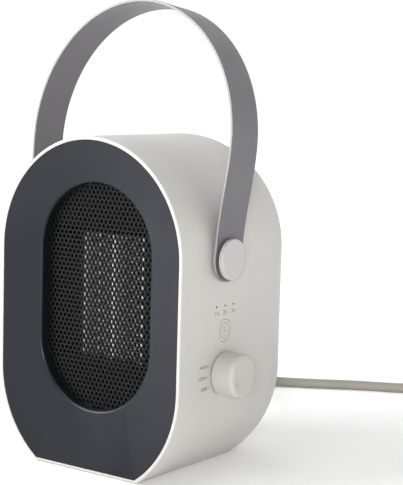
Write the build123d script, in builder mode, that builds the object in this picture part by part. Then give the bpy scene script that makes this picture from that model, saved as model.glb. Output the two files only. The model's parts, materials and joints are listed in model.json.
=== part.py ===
from build123d import *
from math import cos, pi, radians, sin, sqrt, tan
import os

# Compact ceramic (PTC) fan heater with a swinging strap handle.
# Millimetres. +Z up, the front faces -Y, +X is the side with the controls.
# The origin is on the table, under the middle of the body.

# ---------------------------------------------------------------- driving dimensions
HALF_W = 85.0            # half the body's width, and the radius of its round ends
DEPTH = 160.0            # body, front to back
PAD_GAP = 0.8            # the rubber pad holds the body this far off the table
TOP_C = 160.0 + PAD_GAP  # height of the top arc's centre
BOT_C = 69.5 + PAD_GAP   # height of the bottom arc's centre
WALL = 2.5               # shell thickness, and the width of the rim seen from the front
FLOOR = 1.8              # thickness of the shell's flat bottom
BACK_R = 48.0            # big rounding of the back edge

DISH = 8.0               # how far the panel slopes in towards its opening
OPEN_R = 51.0            # half the width of the opening
OPEN_BOT_C = 96.0        # height of the opening's bottom arc centre
GRILLE_DEPTH = 15.5      # grille face behind the body's front plane
HOLE_PITCH = 4.0
HOLE_D = 3.1

HEAT_C = 126.8           # height of the PTC element's centre
HEAT_H = 94.0
HEAT_Y = -43.0           # middle of the PTC element
BAR_PITCH = 13.75        # from one upright bar of the element to the next
WINDOW_C = 128.3         # height of the duct's axis
FAN_R = 51.5
RING_R = 54.0

PIVOT_Y = -30.5
PIVOT_Z = 161.0 + PAD_GAP
LEAN = 7.0               # the strap leans back by this many degrees
STRAP_W = 33.0
STRAP_T = 2.0
STRAP_IN = 87.3          # inner face of the strap at the pivots
ARCH_HALF_W = 92.5       # centre line of the strap's arch
ARCH_START = 80.0        # above the pivot
ARCH_RISE = 102.0
CAP_R = 14.6
NECK_R = 8.0

KNOB_Y = -27.0
KNOB_Z = 77.3 + PAD_GAP
KNOB_R = 15.75
KNOB_L = 17.6
BUTTON_Y = -27.0
BUTTON_Z = 108.4 + PAD_GAP
BUTTON_R = 8.05
LIGHT_Z = 126.6 + PAD_GAP
LIGHT_PITCH = 10.4

CORD_D = 8.8
CORD_R = CORD_D / 2
COIL_MID_R = 48.5        # radius at the middle of the coil's turns
COIL_X = 145.0
COIL_Y = 297.5

FRONT = -DEPTH / 2
BACK = DEPTH / 2
RIGHT = HALF_W
CLEAR = 0.3              # between pieces that move past each other

os.makedirs("parts", exist_ok=True)
parts = []


def keep(builder, name):
    """Label a finished piece and remember it for export."""
    builder.part.label = name
    parts.append(builder.part)


def across(y):
    """Sketch plane facing the front at depth y: local x is +X, local y is +Z."""
    return Plane.XZ.offset(-y)


def side(x):
    """Sketch plane facing +X at distance x: local x is +Y, local y is +Z."""
    return Plane.YZ.offset(x)


def obround(radius, low, high):
    """Upright obround in the current sketch, between two arc centres."""
    with Locations((0, (low + high) / 2)):
        SlotCenterToCenter(high - low, 2 * radius, rotation=90)


def body_solid(inset, front, back, bottom):
    """The body's outer form moved in by inset, its flat bottom at the given height."""
    with BuildPart() as form:
        with BuildSketch(across(front)):
            obround(HALF_W - inset, BOT_C, TOP_C)
        extrude(amount=-(back - front))
        fillet(form.faces().sort_by(Axis.Y)[-1].edges(), BACK_R - inset)
        split(bisect_by=Plane.XY.offset(bottom), keep=Keep.TOP)
    return form.part


def panel_outline(inset, base):
    """Cut obround: round top, straight sides, round lower corners, flat base."""
    radius = HALF_W - inset
    obround(radius, BOT_C, TOP_C)
    with Locations((0, base)):
        Rectangle(3 * radius, 2 * radius, align=(Align.CENTER, Align.MAX), mode=Mode.SUBTRACT)


# ---------------------------------------------------------------- housing
BASE_OPEN = (78.0, 90.0)           # opening in the shell's bottom, X by Y
BASE_PLATE = (92.0, 104.0)
BASE_Y = -17.0
BASE_SCREWS = (85.0, 97.0)
PAD = (70.0, 84.0)
REAR_R = 33.0
REAR_LOW = 94.0
REAR_HIGH = 154.0
REAR_SCREWS = [(0, REAR_LOW - REAR_R - 5), (0, REAR_HIGH + REAR_R + 5)]
GLAND_X = -25.0
GLAND_Z = 50.0
GLAND_HOLE_R = 6.5
POST_Y = (BUTTON_Y - 17, BUTTON_Y + 17)
POST_Z = (BUTTON_Z - 14, BUTTON_Z + 24)
BOARD_X = 71.0
BOARD_T = 1.6
PIPE_R = 0.65

with BuildPart() as housing_shell:
    add(body_solid(0, FRONT, BACK, PAD_GAP))
    fillet(housing_shell.faces().sort_by(Axis.Y)[0].edges(), 0.9)
    add(body_solid(WALL, FRONT - 1, BACK - WALL, PAD_GAP + FLOOR), mode=Mode.SUBTRACT)
    # opening in the bottom for the base plate, with sunk screw holes round it
    with BuildSketch(Plane.XY):
        with Locations((0, BASE_Y)):
            RectangleRounded(*BASE_OPEN, 4)
            with GridLocations(*BASE_SCREWS, 2, 2):
                Circle(1.6)
    extrude(amount=PAD_GAP + FLOOR + 1, mode=Mode.SUBTRACT)
    with BuildSketch(Plane.XY):
        with Locations((0, BASE_Y)), GridLocations(*BASE_SCREWS, 2, 2):
            Circle(3.0)
    extrude(amount=PAD_GAP + 1.3, mode=Mode.SUBTRACT)
    # rear intake opening, its two screw holes and the cord hole
    with BuildSketch(across(BACK + 1)):
        obround(REAR_R + 0.2, REAR_LOW, REAR_HIGH)
        with Locations(*REAR_SCREWS):
            Circle(1.6)
        with Locations((GLAND_X, GLAND_Z)):
            Circle(GLAND_HOLE_R)
    extrude(amount=6, mode=Mode.SUBTRACT)
    with BuildSketch(across(BACK + 1)):
        with Locations(*REAR_SCREWS):
            Circle(3.0)
    extrude(amount=2.2, mode=Mode.SUBTRACT)
    # side holes: both pivots, then the knob shaft, the button and the three lights
    with BuildSketch(side(-RIGHT - 1)):
        with Locations((PIVOT_Y, PIVOT_Z)):
            Circle(6.0)
    extrude(amount=2 * RIGHT + 2, mode=Mode.SUBTRACT)
    with BuildSketch(side(RIGHT - 6)):
        with Locations((KNOB_Y, KNOB_Z)):
            Circle(5.0)
        with Locations((BUTTON_Y, BUTTON_Z)):
            Circle(BUTTON_R + CLEAR + 0.05)
        with Locations((BUTTON_Y, LIGHT_Z)), GridLocations(LIGHT_PITCH, 1, 3, 1):
            Circle(PIPE_R + 0.1)
    extrude(amount=10, mode=Mode.SUBTRACT)
    # posts that carry the control board
    with BuildSketch(side(BOARD_X + BOARD_T)):
        with Locations(*[(y, z) for y in POST_Y for z in POST_Z]):
            Circle(2.8)
    extrude(amount=RIGHT - WALL - BOARD_X - BOARD_T + 0.5)
    with BuildSketch(side(BOARD_X + BOARD_T)):
        with Locations(*[(y, z) for y in POST_Y for z in POST_Z]):
            Circle(1.25)
    extrude(amount=8, mode=Mode.SUBTRACT)
keep(housing_shell, "housing_shell")

with BuildPart() as base_plate:
    with BuildSketch(Plane.XY.offset(PAD_GAP + FLOOR)):
        with Locations((0, BASE_Y)):
            RectangleRounded(*BASE_PLATE, 8)
    extrude(amount=2)
    with BuildSketch(Plane.XY.offset(PAD_GAP)):
        with Locations((0, BASE_Y)):
            RectangleRounded(BASE_OPEN[0] - 0.4, BASE_OPEN[1] - 0.4, 3.8)
    extrude(amount=FLOOR)
    with BuildSketch(Plane.XY.offset(PAD_GAP + FLOOR + 2)):
        with Locations((0, BASE_Y)), GridLocations(*BASE_SCREWS, 2, 2):
            Circle(3.2)
    extrude(amount=6)
    with BuildSketch(Plane.XY.offset(PAD_GAP + FLOOR)):
        with Locations((0, BASE_Y)), GridLocations(*BASE_SCREWS, 2, 2):
            Circle(1.35)
    extrude(amount=7, mode=Mode.SUBTRACT)
    # recess for the rubber pad
    with BuildSketch(Plane.XY.offset(PAD_GAP)):
        with Locations((0, BASE_Y)):
            RectangleRounded(PAD[0] + 0.2, PAD[1] + 0.2, 6.1)
    extrude(amount=0.7, mode=Mode.SUBTRACT)
    # hole for the tip-over plunger
    with BuildSketch(Plane.XY):
        with Locations((24, 6)):
            Circle(3.4)
    extrude(amount=8, mode=Mode.SUBTRACT)
keep(base_plate, "base_plate")

with BuildPart() as base_pad:
    with BuildSketch(Plane.XY):
        with Locations((0, BASE_Y)):
            RectangleRounded(*PAD, 6)
        with Locations((24, 6)):
            Circle(3.6, mode=Mode.SUBTRACT)
    extrude(amount=PAD_GAP + 0.7)
    chamfer(base_pad.faces().sort_by(Axis.Z)[0].outer_wire().edges(), 0.3)
keep(base_pad, "base_pad")

with BuildPart() as base_screws:
    with BuildSketch(Plane.XY.offset(PAD_GAP + 0.1)):
        with Locations((0, BASE_Y)), GridLocations(*BASE_SCREWS, 2, 2):
            Circle(2.8)
    extrude(amount=1.1)
    with BuildSketch(Plane.XY.offset(PAD_GAP + 0.6)):
        with Locations((0, BASE_Y)), GridLocations(*BASE_SCREWS, 2, 2):
            Circle(1.3)
    extrude(amount=8.2)
    with BuildSketch(Plane.XY.offset(PAD_GAP)):
        with Locations((0, BASE_Y)), GridLocations(*BASE_SCREWS, 2, 2):
            Rectangle(3.2, 0.6)
            Rectangle(0.6, 3.2)
    extrude(amount=0.7, mode=Mode.SUBTRACT)
keep(base_screws, "base_screws")

# ---------------------------------------------------------------- front panel and grille
PANEL_Y = FRONT + 0.3
PANEL_INSET = WALL + 0.2
PANEL_BASE = PAD_GAP + FLOOR + 0.2
SKIN = 2.2
LIP_R = 2.5
GRILLE_Y = FRONT + GRILLE_DEPTH
GRILLE_T = 2.0
FLANGE_R = 67.0
BOSS = 43.0              # panel bosses stand this far out from the arc centres, in x and in z
BOSS_SPOTS = [(s * BOSS, TOP_C + BOSS) for s in (-1, 1)] + [(s * BOSS, OPEN_BOT_C - BOSS) for s in (-1, 1)]


def funnel(y, grow):
    """The space in front of the dished face: it narrows from the outline to the opening."""
    with BuildPart() as space:
        with BuildSketch(across(y)):
            radius = HALF_W - PANEL_INSET
            foot = sqrt(radius**2 - (BOT_C - PANEL_BASE) ** 2)
            with BuildLine():
                ThreePointArc((radius, TOP_C), (0, TOP_C + radius), (-radius, TOP_C))
                Line((-radius, TOP_C), (-radius, BOT_C))
                low = radians(20)
                mid = (-radius * cos(low), BOT_C - radius * sin(low))
                ThreePointArc((-radius, BOT_C), mid, (-foot, PANEL_BASE))
                Line((-foot, PANEL_BASE), (foot, PANEL_BASE))
                ThreePointArc((foot, PANEL_BASE), (-mid[0], mid[1]), (radius, BOT_C))
                Line((radius, BOT_C), (radius, TOP_C))
            make_face()
        with BuildSketch(across(y + DISH)):
            inner = OPEN_R + grow
            turn = radians(50)
            knee = (inner * cos(turn), OPEN_BOT_C - inner * sin(turn))
            half = (inner * cos(turn / 2), OPEN_BOT_C - inner * sin(turn / 2))
            with BuildLine():
                ThreePointArc((inner, TOP_C), (0, TOP_C + inner), (-inner, TOP_C))
                Line((-inner, TOP_C), (-inner, OPEN_BOT_C))
                ThreePointArc((-inner, OPEN_BOT_C), (-half[0], half[1]), (-knee[0], knee[1]))
                ThreePointArc((-knee[0], knee[1]), (0, OPEN_BOT_C - inner), knee)
                ThreePointArc(knee, half, (inner, OPEN_BOT_C))
                Line((inner, OPEN_BOT_C), (inner, TOP_C))
            make_face()
        loft(ruled=True)
    return space.part


with BuildPart() as front_panel:
    with BuildSketch(across(PANEL_Y)):
        panel_outline(PANEL_INSET, PANEL_BASE)
    extrude(amount=-(DISH + SKIN))
    # hollow behind the sloping face
    with BuildPart(mode=Mode.PRIVATE) as hollow:
        with BuildSketch(across(PANEL_Y + SKIN)):
            panel_outline(PANEL_INSET + SKIN, PANEL_BASE + SKIN)
        extrude(amount=-DISH - 1)
        add(funnel(PANEL_Y + SKIN, SKIN), mode=Mode.SUBTRACT)
        with BuildSketch(across(PANEL_Y)):
            obround(OPEN_R + SKIN, OPEN_BOT_C, TOP_C)
        extrude(amount=-30, mode=Mode.SUBTRACT)
    add(hollow.part, mode=Mode.SUBTRACT)
    # sleeve from the lip back to the grille, and bosses for the duct
    with BuildSketch(across(GRILLE_Y)):
        obround(OPEN_R + SKIN, OPEN_BOT_C, TOP_C)
    extrude(amount=GRILLE_DEPTH - DISH - 1)
    with BuildSketch(across(GRILLE_Y + GRILLE_T)):
        with Locations(*BOSS_SPOTS):
            Circle(4.0)
    extrude(amount=GRILLE_DEPTH + GRILLE_T - DISH - 1)
    add(funnel(PANEL_Y, 0), mode=Mode.SUBTRACT)
    with BuildSketch(across(FRONT - 1)):
        obround(OPEN_R, OPEN_BOT_C, TOP_C)
    extrude(amount=-40, mode=Mode.SUBTRACT)
    with BuildSketch(across(GRILLE_Y + GRILLE_T)):
        with Locations(*BOSS_SPOTS):
            Circle(1.35)
    extrude(amount=6, mode=Mode.SUBTRACT)
    lip = front_panel.edges().filter_by_position(Axis.Y, PANEL_Y + DISH - 0.2, PANEL_Y + DISH + 0.2)
    fillet(lip, LIP_R)
keep(front_panel, "front_panel")


def lattice(radius, low, high):
    """Centres of a hexagonal lattice that lie inside an upright obround."""
    row = HOLE_PITCH * sqrt(3) / 2
    spots = []
    for j in range(-60, 60):
        for i in range(-20, 20):
            x = (i + 0.5 * (j % 2)) * HOLE_PITCH
            z = WINDOW_C + j * row
            past = max(low - z, z - high, 0)
            if x * x + past * past < radius * radius:
                spots.append((x, z))
    return spots


with BuildPart() as front_grille:
    with BuildSketch(across(GRILLE_Y)):
        obround(OPEN_R + 3.5, OPEN_BOT_C, TOP_C)
        with Locations(*lattice(OPEN_R + 0.3, OPEN_BOT_C, TOP_C)):
            Circle(HOLE_D / 2, mode=Mode.SUBTRACT)
    extrude(amount=-GRILLE_T)
keep(front_grille, "front_grille")

# ---------------------------------------------------------------- air path
FLANGE_Y = GRILLE_Y + GRILLE_T
FLANGE_T = 2.0
WINDOW = (100.0, 99.0)
TUBE_END = -30.0         # the square tube ends here and the fan ring begins
RING_END = 16.0
DUCT_T = 2.0
ARM_SPOTS = [(x, WINDOW_C + z) for x in (-42, 42) for z in (-42, 42)]


def duct_form(grow):
    """Square tube that runs into the round fan ring, larger by grow all round."""
    with BuildPart() as form:
        with BuildSketch(across(FLANGE_Y)):
            with Locations((0, WINDOW_C)):
                RectangleRounded(WINDOW[0] + 2 * grow, WINDOW[1] + 2 * grow, 4 + grow)
        extrude(amount=-(TUBE_END + grow - FLANGE_Y))
        with BuildSketch(across(TUBE_END - grow)):
            with Locations((0, WINDOW_C)):
                Circle(RING_R + grow)
        extrude(amount=-(RING_END - TUBE_END + grow))
    return form.part


with BuildPart() as air_duct:
    add(duct_form(DUCT_T))
    with BuildSketch(across(FLANGE_Y)):
        obround(FLANGE_R, OPEN_BOT_C, TOP_C)
    extrude(amount=-FLANGE_T)
    with BuildSketch(across(RING_END)):
        with Locations(*ARM_SPOTS):
            Circle(4.0)
    extrude(amount=10)
    add(duct_form(0), mode=Mode.SUBTRACT)
    with BuildSketch(across(FLANGE_Y)):
        with Locations(*BOSS_SPOTS):
            Circle(1.7)
    extrude(amount=-4, mode=Mode.SUBTRACT)
    with BuildSketch(across(RING_END)):
        with Locations(*ARM_SPOTS):
            Circle(1.35)
    extrude(amount=9, mode=Mode.SUBTRACT)
keep(air_duct, "air_duct")

with BuildPart() as duct_screws:
    with BuildSketch(across(FLANGE_Y + FLANGE_T)):
        with Locations(*BOSS_SPOTS):
            Circle(2.8)
    extrude(amount=-1.8)
    with BuildSketch(across(FLANGE_Y + FLANGE_T)):
        with Locations(*BOSS_SPOTS):
            Circle(1.3)
    extrude(amount=7.5)
    with BuildSketch(across(FLANGE_Y + FLANGE_T + 1.8)):
        with Locations(*BOSS_SPOTS):
            Rectangle(3.2, 0.6)
            Rectangle(0.6, 3.2)
    extrude(amount=0.7, mode=Mode.SUBTRACT)
keep(duct_screws, "duct_screws")

# ---------------------------------------------------------------- PTC heating element
HEAT_D = 14.0
BAR_T = 2.4
STRIP_T = 1.0
FIN_PITCH = 2.6
FIN_T = 0.3
FRAME_H = 0.9
BAR_SPOTS = [(k * 2 * BAR_PITCH, HEAT_C) for k in (-1, 0, 1)]
STRIP_SPOTS = [(k * BAR_PITCH, HEAT_C) for k in (-1, 1)]
HEAT_FRONT = HEAT_Y - HEAT_D / 2


def zigzag(x_low, x_high):
    """Outline of one folded fin strip that climbs between two upright bars."""
    count = int(HEAT_H / FIN_PITCH)
    start = HEAT_C - count * FIN_PITCH / 2
    thick = FIN_T * (x_high - x_low) / (FIN_PITCH / 2)
    near = []
    for k in range(2 * count + 1):
        near.append((x_low if k % 2 else x_high - thick, start + k * FIN_PITCH / 2))
    return near + [(x + thick, z) for x, z in reversed(near)]


with BuildPart() as ptc_fins:
    for k in range(-2, 2):
        inner = k * BAR_PITCH + (BAR_T if k % 2 == 0 else STRIP_T) / 2
        outer = (k + 1) * BAR_PITCH - (STRIP_T if k % 2 == 0 else BAR_T) / 2
        with BuildSketch(across(HEAT_FRONT + 0.4)):
            with BuildLine():
                Polyline(*zigzag(inner + 0.02, outer - 0.02), close=True)
            make_face()
        extrude(amount=-HEAT_D + 0.8)
keep(ptc_fins, "ptc_fins")

with BuildPart() as ptc_bars:
    with BuildSketch(across(HEAT_FRONT)):
        with Locations(*BAR_SPOTS):
            Rectangle(BAR_T, HEAT_H)
    extrude(amount=-HEAT_D)
keep(ptc_bars, "ptc_bars")

with BuildPart() as contact_strips:
    with BuildSketch(across(HEAT_FRONT + 0.5)):
        with Locations(*STRIP_SPOTS):
            Rectangle(STRIP_T, HEAT_H)
    extrude(amount=-HEAT_D + 1)
    # tabs for the leads, behind the element
    with BuildSketch(across(HEAT_FRONT + HEAT_D - 0.5)):
        with Locations(*[(x, HEAT_C - 30) for x, z in STRIP_SPOTS]):
            Rectangle(STRIP_T, 6.3)
    extrude(amount=-8)
keep(contact_strips, "contact_strips")

with BuildPart() as ptc_frame:
    for end in (-1, 1):
        with BuildSketch(across(HEAT_FRONT - 1)):
            with Locations((0, HEAT_C + end * (HEAT_H + FRAME_H) / 2)):
                Rectangle(2 * 2 * BAR_PITCH + 10, FRAME_H)
        extrude(amount=-HEAT_D - 2)
    for edge in (-1, 1):
        x_mid = edge * (2 * BAR_PITCH + BAR_T / 2 + 1.9)
        with BuildSketch(across(HEAT_FRONT + 1)):
            with Locations((x_mid, HEAT_C)):
                Rectangle(3.8, HEAT_H + FRAME_H)
        extrude(amount=-HEAT_D + 2)
        # side webs out to the duct walls
        with BuildSketch(across(HEAT_Y + 3)):
            with Locations((edge * (WINDOW[0] / 2 + 2 * BAR_PITCH + 5) / 2, HEAT_C + 20)):
                Rectangle(WINDOW[0] / 2 - 2 * BAR_PITCH - 5, 3)
            with Locations((edge * (WINDOW[0] / 2 + 2 * BAR_PITCH + 5) / 2, HEAT_C - 20)):
                Rectangle(WINDOW[0] / 2 - 2 * BAR_PITCH - 5, 3)
        extrude(amount=-4)
keep(ptc_frame, "ptc_frame")

with BuildPart() as thermal_cutout:
    cut_z = WINDOW_C + WINDOW[1] / 2 + DUCT_T
    with BuildSketch(Plane.XY.offset(cut_z)):
        with Locations((0, -48)):
            Circle(8.0)
    extrude(amount=5)
    with BuildSketch(Plane.XY.offset(cut_z)):
        with Locations((0, -48)):
            SlotOverall(30, 6)
    extrude(amount=0.8)
    with BuildSketch(Plane.XY.offset(cut_z + 5)):
        with Locations((-4, -48), (4, -48)):
            Rectangle(0.8, 6.3)
    extrude(amount=6)
keep(thermal_cutout, "thermal_cutout")

# ---------------------------------------------------------------- fan and motor
HUB_R = 17.0
HUB_FRONT = -11.0
HUB_BACK = 9.0
BLADES = 7
SHAFT_R = 1.5
MOTOR_R = 20.0
MOTOR_FRONT = 20.0
MOTOR_BACK = 48.0


def blade(angle):
    """One fan blade: a flat section with round edges that widens and untwists towards its tip."""
    with BuildPart() as form:
        for reach, chord, pitch in ((HUB_R - 2, 19, 48), (FAN_R + 1, 33, 26)):
            plane = Plane(origin=(0, 0, 0), x_dir=(0, 1, 0), z_dir=(1, 0, 0)).offset(reach)
            with BuildSketch(plane):
                SlotOverall(chord, 1.8, rotation=90 - pitch)
        loft(ruled=True)
        with BuildSketch(across(30)):
            Circle(FAN_R)
        extrude(amount=60, mode=Mode.INTERSECT)
    return form.part.rotate(Axis.Y, angle)


with BuildPart() as fan_impeller:
    for k in range(BLADES):
        add(blade(k * 360 / BLADES))
    with BuildSketch(across(HUB_BACK)):
        Circle(HUB_R)
    extrude(amount=HUB_BACK - HUB_FRONT)
    fillet(fan_impeller.edges().filter_by(GeomType.CIRCLE).sort_by(Axis.Y)[0], 3)
    with BuildSketch(across(HUB_BACK)):
        Circle(HUB_R - 2)
        Circle(4, mode=Mode.SUBTRACT)
    extrude(amount=HUB_BACK - HUB_FRONT - 4, mode=Mode.SUBTRACT)
    with BuildSketch(across(HUB_BACK)):
        Circle(SHAFT_R)
    extrude(amount=16, mode=Mode.SUBTRACT)
fan_impeller.part = fan_impeller.part.moved(Location((0, 0, WINDOW_C)))
keep(fan_impeller, "fan_impeller")

with BuildPart() as motor_shaft:
    with BuildSketch(across(HUB_BACK - 16)):
        with Locations((0, WINDOW_C)):
            Circle(SHAFT_R)
    extrude(amount=-(MOTOR_BACK + 1 - HUB_BACK + 16))
keep(motor_shaft, "motor_shaft")

with BuildPart() as fan_motor:
    with BuildSketch(across(MOTOR_FRONT)):
        with Locations((0, WINDOW_C)):
            Circle(MOTOR_R)
    extrude(amount=-(MOTOR_BACK - MOTOR_FRONT))
    fillet(fan_motor.edges().filter_by(GeomType.CIRCLE), 2)
    with BuildSketch(across(MOTOR_FRONT + 0.5)):
        with Locations((0, WINDOW_C)):
            Circle(5.0)
    extrude(amount=5)
    with BuildSketch(across(MOTOR_BACK - 0.5)):
        with Locations((0, WINDOW_C)):
            Circle(5.0)
    extrude(amount=-3)
    with BuildSketch(across(MOTOR_FRONT - 6)):
        with Locations((0, WINDOW_C)):
            Circle(SHAFT_R + 0.06)
    extrude(amount=-60, mode=Mode.SUBTRACT)
keep(fan_motor, "fan_motor")

with BuildPart() as motor_bracket:
    with BuildSketch(across(RING_END)):
        with Locations((0, WINDOW_C)):
            Circle(MOTOR_R + 3.5)
            for x in (-1, 1):
                for z in (-1, 1):
                    with Locations((x * 29, z * 29)):
                        Rectangle(46, 6, rotation=45 * x * z)
        with Locations(*ARM_SPOTS):
            Circle(5.5)
    extrude(amount=-3)
    with BuildSketch(across(RING_END)):
        with Locations((0, WINDOW_C)):
            Circle(MOTOR_R + 3.5)
    extrude(amount=-12)
    with BuildSketch(across(RING_END)):
        with Locations((0, WINDOW_C)):
            Circle(MOTOR_R - 4)
    extrude(amount=-12, mode=Mode.SUBTRACT)
    with BuildSketch(across(MOTOR_FRONT)):
        with Locations((0, WINDOW_C)):
            Circle(MOTOR_R)
    extrude(amount=-12, mode=Mode.SUBTRACT)
    with BuildSketch(across(RING_END)):
        with Locations(*ARM_SPOTS):
            Circle(1.7)
    extrude(amount=-4, mode=Mode.SUBTRACT)
keep(motor_bracket, "motor_bracket")

with BuildPart() as bracket_screws:
    with BuildSketch(across(RING_END + 3)):
        with Locations(*ARM_SPOTS):
            Circle(2.8)
    extrude(amount=-1.8)
    with BuildSketch(across(RING_END + 3)):
        with Locations(*ARM_SPOTS):
            Circle(1.3)
    extrude(amount=11)
keep(bracket_screws, "bracket_screws")

# ---------------------------------------------------------------- rear intake grille
REAR_T = 2.0
SLOT_H = 3.0
SLOT_PITCH = 6.0

with BuildPart() as rear_grille:
    with BuildSketch(across(BACK - WALL)):
        obround(REAR_R, REAR_LOW, REAR_HIGH)
    extrude(amount=-WALL)
    with BuildSketch(across(BACK - WALL - REAR_T)):
        obround(REAR_R + 3, REAR_LOW, REAR_HIGH)
        with Locations(*REAR_SCREWS):
            Circle(5.5)
    extrude(amount=-REAR_T)
    with BuildSketch(across(BACK - WALL - REAR_T - 6)):
        with Locations(*REAR_SCREWS):
            Circle(3.5)
    extrude(amount=-6)
    with BuildSketch(across(BACK)):
        middle = (REAR_LOW + REAR_HIGH) / 2
        rows = int((REAR_HIGH - REAR_LOW + 2 * REAR_R - 8) / SLOT_PITCH)
        for k in range(rows):
            z = middle + (k - (rows - 1) / 2) * SLOT_PITCH
            past = max(REAR_LOW - z, z - REAR_HIGH, 0) + SLOT_H / 2
            half = sqrt((REAR_R - 4) ** 2 - min(past, REAR_R - 5) ** 2)
            if half > 8:
                with Locations((0, z)):
                    SlotOverall(2 * half, SLOT_H)
    extrude(amount=WALL + REAR_T, mode=Mode.SUBTRACT)
    # two ribs behind the slots
    with BuildSketch(across(BACK - WALL - REAR_T)):
        with Locations((-10, middle), (10, middle)):
            Rectangle(1.8, REAR_HIGH - REAR_LOW + 2 * REAR_R - 8)
    extrude(amount=-REAR_T)
    with BuildSketch(across(BACK - WALL)):
        with Locations(*REAR_SCREWS):
            Circle(1.35)
    extrude(amount=8, mode=Mode.SUBTRACT)
keep(rear_grille, "rear_grille")

with BuildPart() as rear_screws:
    with BuildSketch(across(BACK - 1.2)):
        with Locations(*REAR_SCREWS):
            Circle(2.8)
    extrude(amount=-1.1)
    with BuildSketch(across(BACK - 1.1)):
        with Locations(*REAR_SCREWS):
            Circle(1.3)
    extrude(amount=9)
    with BuildSketch(across(BACK)):
        with Locations(*REAR_SCREWS):
            Rectangle(3.2, 0.6)
            Rectangle(0.6, 3.2)
    extrude(amount=0.7, mode=Mode.SUBTRACT)
keep(rear_screws, "rear_screws")

# ---------------------------------------------------------------- handle
LEAN_COS = cos(radians(LEAN))
LEAN_SIN = sin(radians(LEAN))
PIVOT = (0, PIVOT_Y, PIVOT_Z)
ARCH_PLANE = Plane(origin=PIVOT, x_dir=(1, 0, 0), z_dir=(0, -LEAN_COS, LEAN_SIN))
STRAP_MID = STRAP_IN + STRAP_T / 2
FOOT_TOP = 12.0          # the strap is straight up to here, then spreads into the arch
STRAP_EDGE_R = 0.7


def strap_curve(shift):
    """Open outline of the strap seen from the front, moved outwards by shift."""
    low = (STRAP_MID + shift, -STRAP_W)
    bend = (STRAP_MID + shift, FOOT_TOP)
    spring = (ARCH_HALF_W + shift, ARCH_START)
    Line(low, bend)
    Spline(bend, spring, tangents=((0, 1), (0, 1)))
    EllipticalCenterArc((0, ARCH_START), ARCH_HALF_W + shift, ARCH_RISE + shift, arc_size=180)
    Spline((-spring[0], spring[1]), (-bend[0], bend[1]), tangents=((0, -1), (0, -1)))
    Line((-bend[0], bend[1]), (-low[0], low[1]))


with BuildPart() as handle_strap:
    with BuildSketch(ARCH_PLANE.offset(-STRAP_W / 2)):
        with BuildLine():
            strap_curve(STRAP_T / 2)
            strap_curve(-STRAP_T / 2)
            Line((STRAP_MID + STRAP_T / 2, -STRAP_W), (STRAP_MID - STRAP_T / 2, -STRAP_W))
            Line((-STRAP_MID - STRAP_T / 2, -STRAP_W), (-STRAP_MID + STRAP_T / 2, -STRAP_W))
        make_face()
    extrude(amount=STRAP_W)
    # round both feet about the pivots
    feet = Plane(origin=(-120, PIVOT_Y, PIVOT_Z), x_dir=(0, LEAN_COS, -LEAN_SIN), z_dir=(1, 0, 0))
    with BuildSketch(feet):
        Circle(STRAP_W / 2)
        with Locations((0, 110)):
            Rectangle(STRAP_W, 220)
    extrude(amount=240, mode=Mode.INTERSECT)
    rims = handle_strap.edges().filter_by(Axis(PIVOT, ARCH_PLANE.z_dir), reverse=True)
    fillet(rims.filter_by(lambda edge: edge.length > 2 * STRAP_T), STRAP_EDGE_R)
    with BuildSketch(side(-120)):
        with Locations((PIVOT_Y, PIVOT_Z)):
            Circle(NECK_R + 0.06)
    extrude(amount=240, mode=Mode.SUBTRACT)
keep(handle_strap, "handle_strap")

CAP_IN = STRAP_IN + STRAP_T + 1.8      # inner face of the cap's disc
CAP_OUT = CAP_IN + 3.2
WASHER_OUT = RIGHT + 2.0
SPIGOT_END = RIGHT - WALL - 0.6        # clear of the shell's round top inside
HEAD_IN = SPIGOT_END - 2.0

with BuildPart() as pivot_washers:
    with BuildSketch(side(RIGHT)):
        with Locations((PIVOT_Y, PIVOT_Z)):
            Circle(12.0)
            Circle(NECK_R + 0.05, mode=Mode.SUBTRACT)
    extrude(amount=WASHER_OUT - RIGHT)
    mirror(about=Plane.YZ)
keep(pivot_washers, "pivot_washers")

with BuildPart() as pivot_cap_right:
    with BuildSketch(side(SPIGOT_END)):
        with Locations((PIVOT_Y, PIVOT_Z)):
            Circle(5.9)
    extrude(amount=RIGHT - SPIGOT_END)
    with BuildSketch(side(RIGHT)):
        with Locations((PIVOT_Y, PIVOT_Z)):
            Circle(NECK_R)
    extrude(amount=CAP_IN - RIGHT)
    with BuildSketch(side(CAP_IN)):
        with Locations((PIVOT_Y, PIVOT_Z)):
            Circle(CAP_R)
    extrude(amount=CAP_OUT - CAP_IN)
    fillet(pivot_cap_right.edges().filter_by(GeomType.CIRCLE).sort_by(Axis.X)[-1], 0.7)
    with BuildSketch(side(SPIGOT_END)):
        with Locations((PIVOT_Y, PIVOT_Z)):
            Circle(2.0)
    extrude(amount=9, mode=Mode.SUBTRACT)
keep(pivot_cap_right, "pivot_cap_right")

with BuildPart() as pivot_cap_left:
    add(mirror(pivot_cap_right.part, about=Plane.YZ, mode=Mode.PRIVATE))
keep(pivot_cap_left, "pivot_cap_left")

with BuildPart() as pivot_screws:
    with BuildSketch(side(HEAD_IN)):
        with Locations((PIVOT_Y, PIVOT_Z)):
            Circle(8.5)
    extrude(amount=SPIGOT_END - HEAD_IN)
    with BuildSketch(side(HEAD_IN)):
        with Locations((PIVOT_Y, PIVOT_Z)):
            Circle(1.95)
    extrude(amount=9)
    with BuildSketch(side(HEAD_IN)):
        with Locations((PIVOT_Y, PIVOT_Z)):
            Rectangle(5, 0.9)
            Rectangle(0.9, 5)
    extrude(amount=1, mode=Mode.SUBTRACT)
    mirror(about=Plane.YZ)
keep(pivot_screws, "pivot_screws")

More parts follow.
